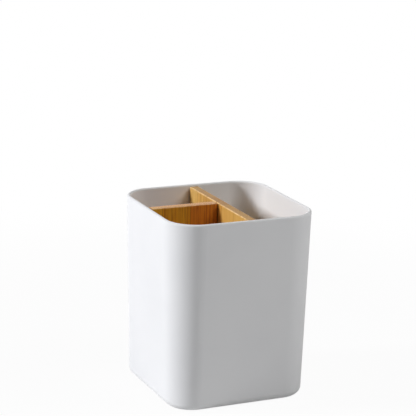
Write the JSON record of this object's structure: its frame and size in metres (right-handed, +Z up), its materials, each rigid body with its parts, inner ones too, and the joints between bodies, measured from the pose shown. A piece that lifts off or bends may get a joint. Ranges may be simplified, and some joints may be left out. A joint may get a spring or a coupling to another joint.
{
  "type": "toothbrush holder",
  "caption": "Free-standing square toothbrush holder: a white matte moulded cup with rounded corners and a lift-out bamboo T divider that parts it into compartments.",
  "frame": {"origin": "on the standing plane, under the middle of the cup", "axes": "+Z up; -Y is the front, +X the right, where the single full-depth compartment lies"},
  "size_m": [0.085, 0.085, 0.105],
  "materials": {
    "cup_plastic": "fine matte mould texture",
    "board_bamboo": "sanded, thin matte lacquer",
    "dowel_bamboo": "raw",
    "pad_rubber": "matte"
  },
  "bodies": {
    "cup": {"cup": "cup_plastic", "foot_pad_front_left": "pad_rubber", "foot_pad_front_right": "pad_rubber", "foot_pad_back_left": "pad_rubber", "foot_pad_back_right": "pad_rubber"},
    "divider": {"long_divider": "board_bamboo", "cross_divider": "board_bamboo", "upper_dowel": "dowel_bamboo", "lower_dowel": "dowel_bamboo"}
  },
  "joints": [
    {"name": "divider_lift", "type": "slide", "parent": "cup", "child": "divider", "axis": [0, 0, 1], "range_m": [0, 0.11]}
  ]
}
